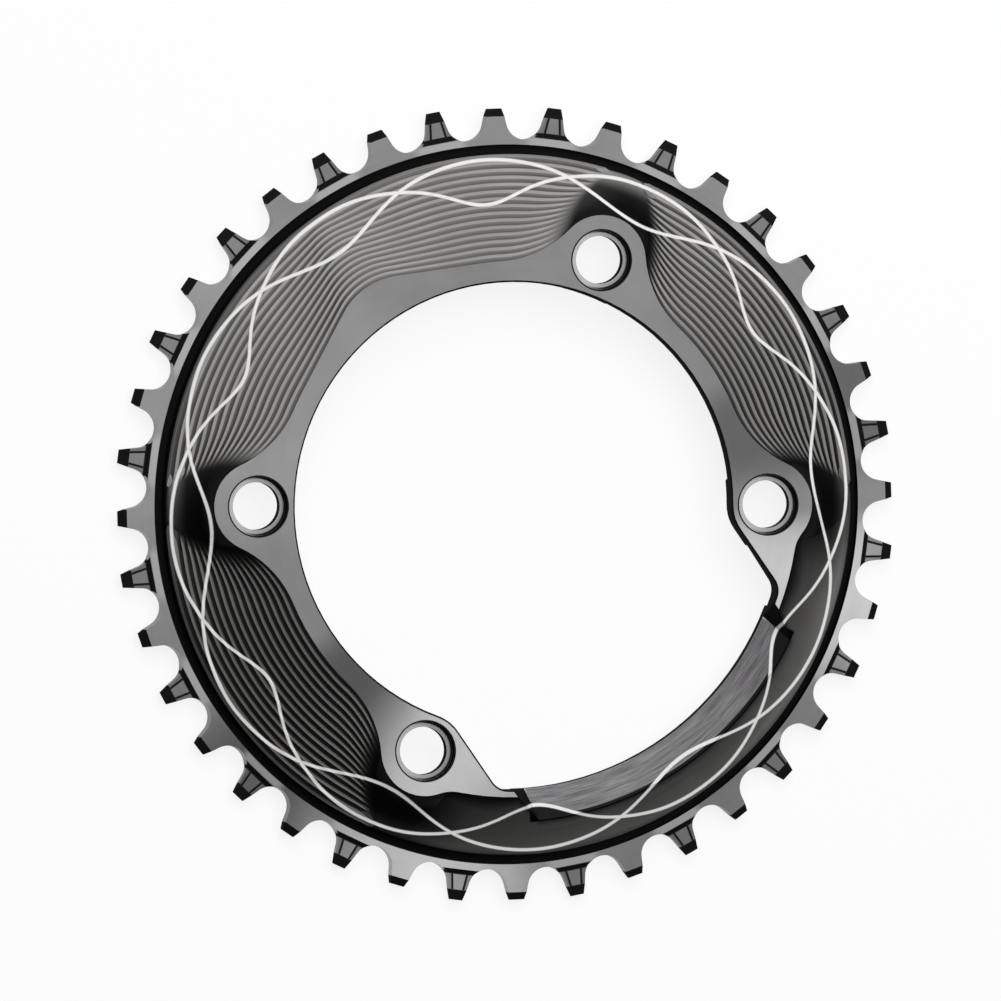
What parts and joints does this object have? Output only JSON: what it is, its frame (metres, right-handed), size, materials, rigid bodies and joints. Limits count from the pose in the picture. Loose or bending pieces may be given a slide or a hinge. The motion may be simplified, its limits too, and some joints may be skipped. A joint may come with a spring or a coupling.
{
  "type": "bicycle chainring",
  "caption": "Round narrow-wide chainring in black anodised aluminium, with a terraced dished web, counterbored ears and a cut-away for the crank arm.",
  "frame": {"origin": "centre of the ring, on the plane of the back faces of the teeth", "axes": "+Z along the wheel axis from the back towards the outer face, -Y towards the crank arm, +X to the right of it seen from the outer face"},
  "size_m": [0.1676, 0.1676, 0.0103],
  "materials": {
    "anodised_aluminium": "black anodised, satin, with machined terraces"
  },
  "bodies": {
    "root": {"chainring": "anodised_aluminium"}
  },
  "joints": []
}
